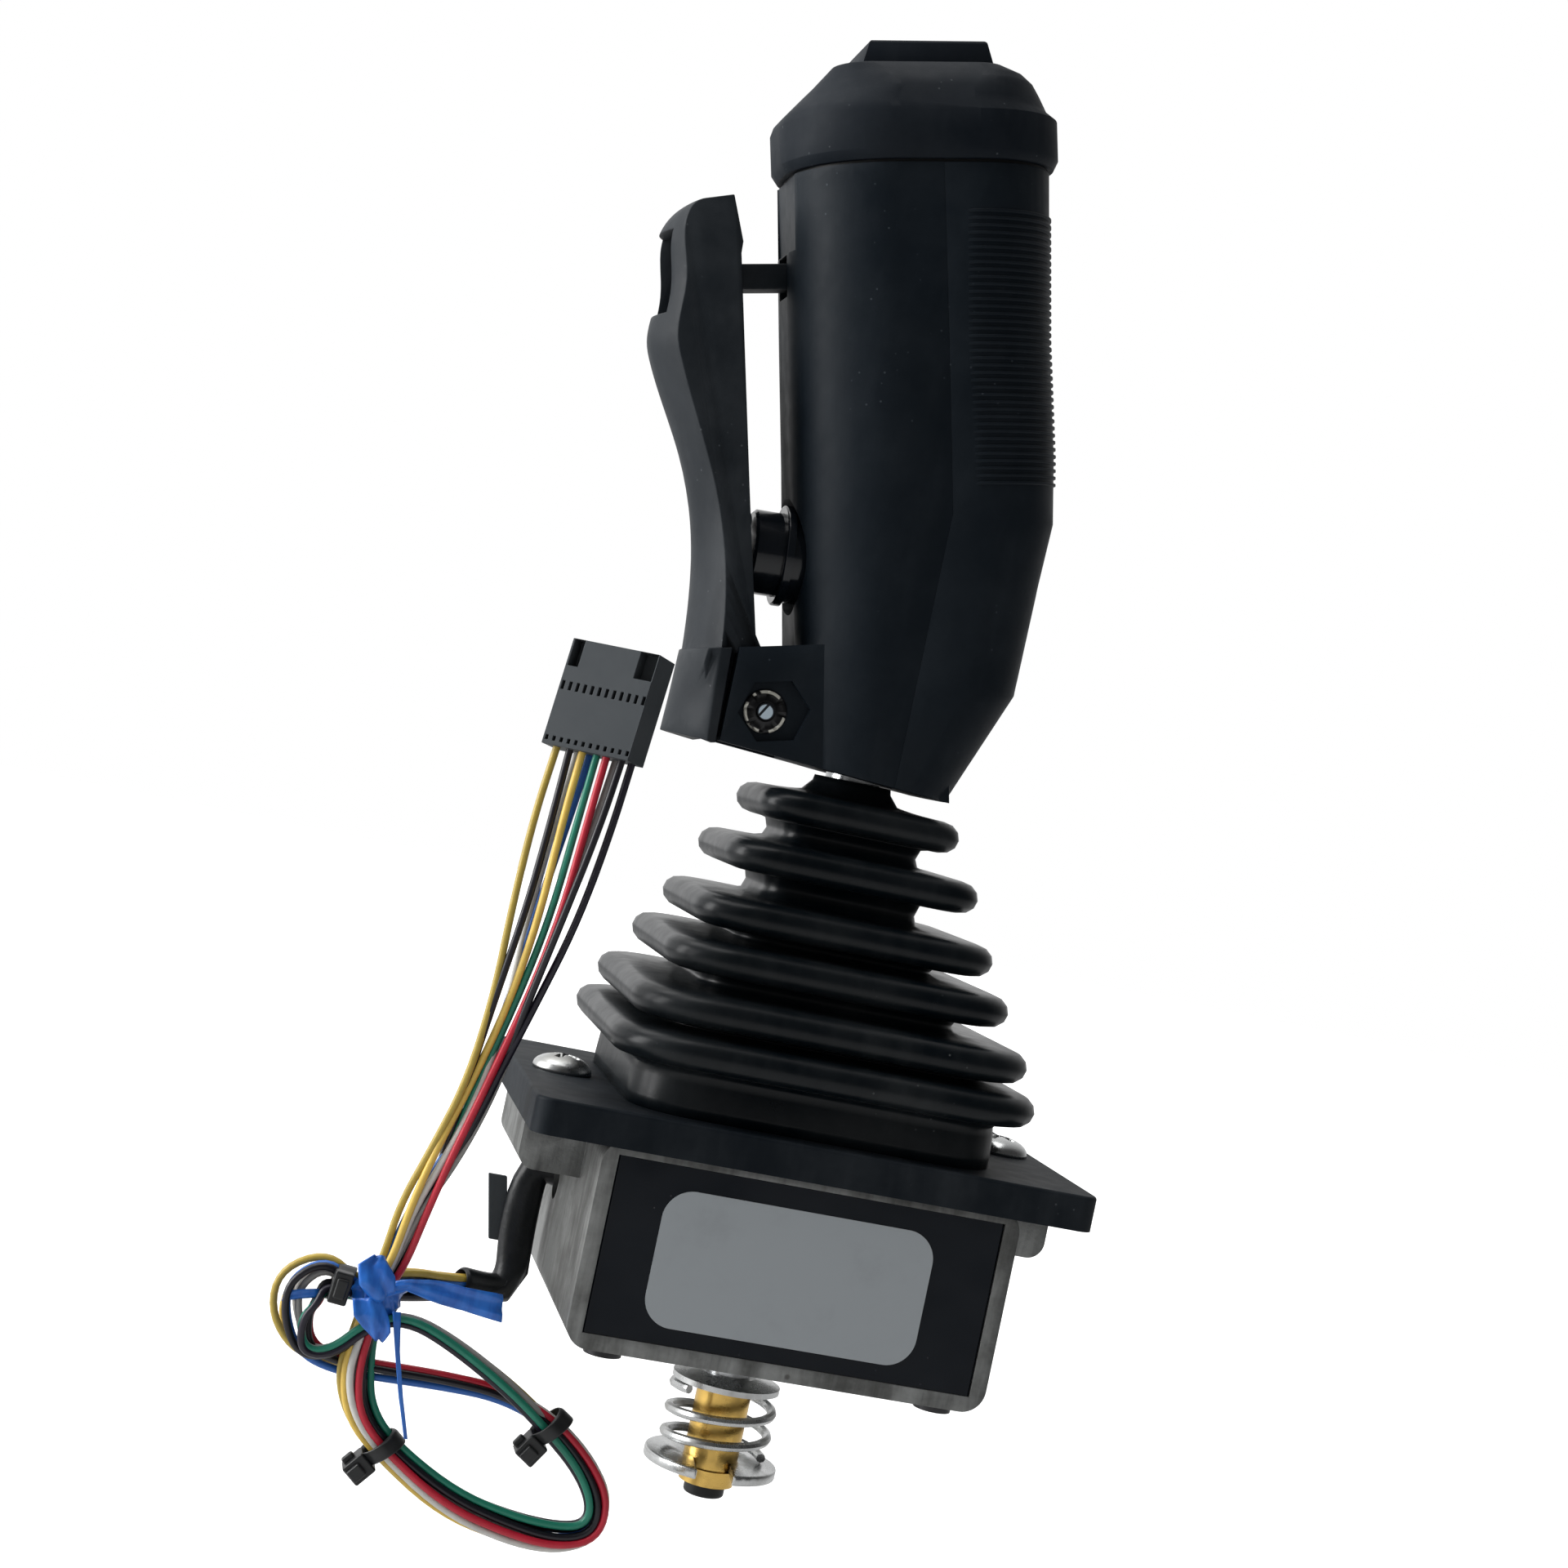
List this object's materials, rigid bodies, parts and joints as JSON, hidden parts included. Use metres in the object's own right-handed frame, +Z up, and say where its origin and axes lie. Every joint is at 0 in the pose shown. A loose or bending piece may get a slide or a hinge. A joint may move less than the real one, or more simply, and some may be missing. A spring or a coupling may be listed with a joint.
{
  "type": "industrial joystick",
  "caption": "Panel-mounted joystick with a leaning grip, squeeze lever, push-button, thumb rocker, rubber bellows, cast housing and a wire harness with a plug.",
  "frame": {"origin": "centre of the panel plate's underside, on the axis of the upright stick", "axes": "+Z up the stick, +X towards the palm side of the grip, -X towards the squeeze lever, -Y towards the blank label on the housing's front"},
  "size_m": [0.1298, 0.0754, 0.2697],
  "materials": {
    "cast_aluminium": "cast, dull, with darker patina",
    "black_plastic": "matt black moulding",
    "grip_plastic": "matt near-black moulding, slightly blue",
    "black_rubber": "matt rubber",
    "gloss_black": "glossy potting resin",
    "board_green": "solder mask",
    "label_grey": "bare satin film",
    "bearing_plastic": "natural bearing plastic",
    "zinc_steel": "zinc plated",
    "black_steel": "blackened",
    "brass": "turned",
    "button_grey": "satin grey",
    "wire_black": "wire insulation; the wires' own colours are in the visual model",
    "ribbon_blue": "thin glossy ribbon",
    "connector_grey": "moulded, slightly worn"
  },
  "bodies": {
    "base": {"base_housing": "cast_aluminium", "panel_plate": "black_plastic", "plate_screws": "zinc_steel", "floor_screws": "black_steel", "electronics_block": "gloss_black", "circuit_board": "board_green", "blank_label": "label_grey", "pivot_bushes": "bearing_plastic", "position_sensor": "black_plastic", "neutral_switch": "black_plastic", "boot_frame": "black_plastic", "boot": "black_rubber", "cable_sleeve": "black_rubber", "harness_lead": "wire_black", "harness_pigtail": "wire_black", "harness_hank": "wire_black", "cable_ties": "black_plastic", "ribbon_tie": "ribbon_blue", "connector": "connector_grey"},
    "stick": {"stick_hub": "cast_aluminium", "pivot_pins": "zinc_steel", "stick_shaft": "zinc_steel", "spring_washer": "zinc_steel", "brass_bush": "brass", "retaining_clip": "zinc_steel", "centring_spring": "zinc_steel", "shaft_end_cap": "black_plastic", "grip_front_shell": "grip_plastic", "grip_rear_shell": "grip_plastic", "grip_nut": "zinc_steel", "head_frame": "black_plastic", "head_cap": "black_rubber", "rocker_pin": "zinc_steel", "rocker_switches": "black_plastic", "lever_pin": "zinc_steel", "pin_rings": "black_steel", "button_body": "black_plastic", "button_bezel": "black_plastic"},
    "lever": {"squeeze_lever": "grip_plastic", "lever_strap": "grip_plastic", "lever_spring": "zinc_steel"},
    "button": {"push_button": "button_grey"},
    "rocker": {"thumb_rocker": "black_rubber"}
  },
  "joints": [
    {"name": "stick_tilt", "type": "hinge", "parent": "base", "child": "stick", "pos_m": [0, 0, -0.012], "axis": [0, 1, 0], "range_deg": [-20, 20], "stiffness_Nm_per_rad": 2.5, "deforming": ["boot"]},
    {"name": "lever_squeeze", "type": "hinge", "parent": "stick", "child": "lever", "pos_m": [-0.02046, 0, 0.07467], "axis": [0, 1, 0], "range_deg": [0, 4], "stiffness_Nm_per_rad": 2, "springref_deg": -2.86},
    {"name": "button_press", "type": "slide", "parent": "stick", "child": "button", "axis": [0.9978, 0, 0.0663], "range_m": [0, 0.0024], "stiffness_N_per_m": 30},
    {"name": "rocker_tilt", "type": "hinge", "parent": "stick", "child": "rocker", "pos_m": [-0.01488, 0, 0.18376], "axis": [0.9703, 0, 0.2419], "range_deg": [-7, 7], "stiffness_Nm_per_rad": 0.1}
  ],
  "couplings": [
    {"joint": "button_press", "follows": "lever_squeeze", "m_per_rad": 0.033}
  ]
}
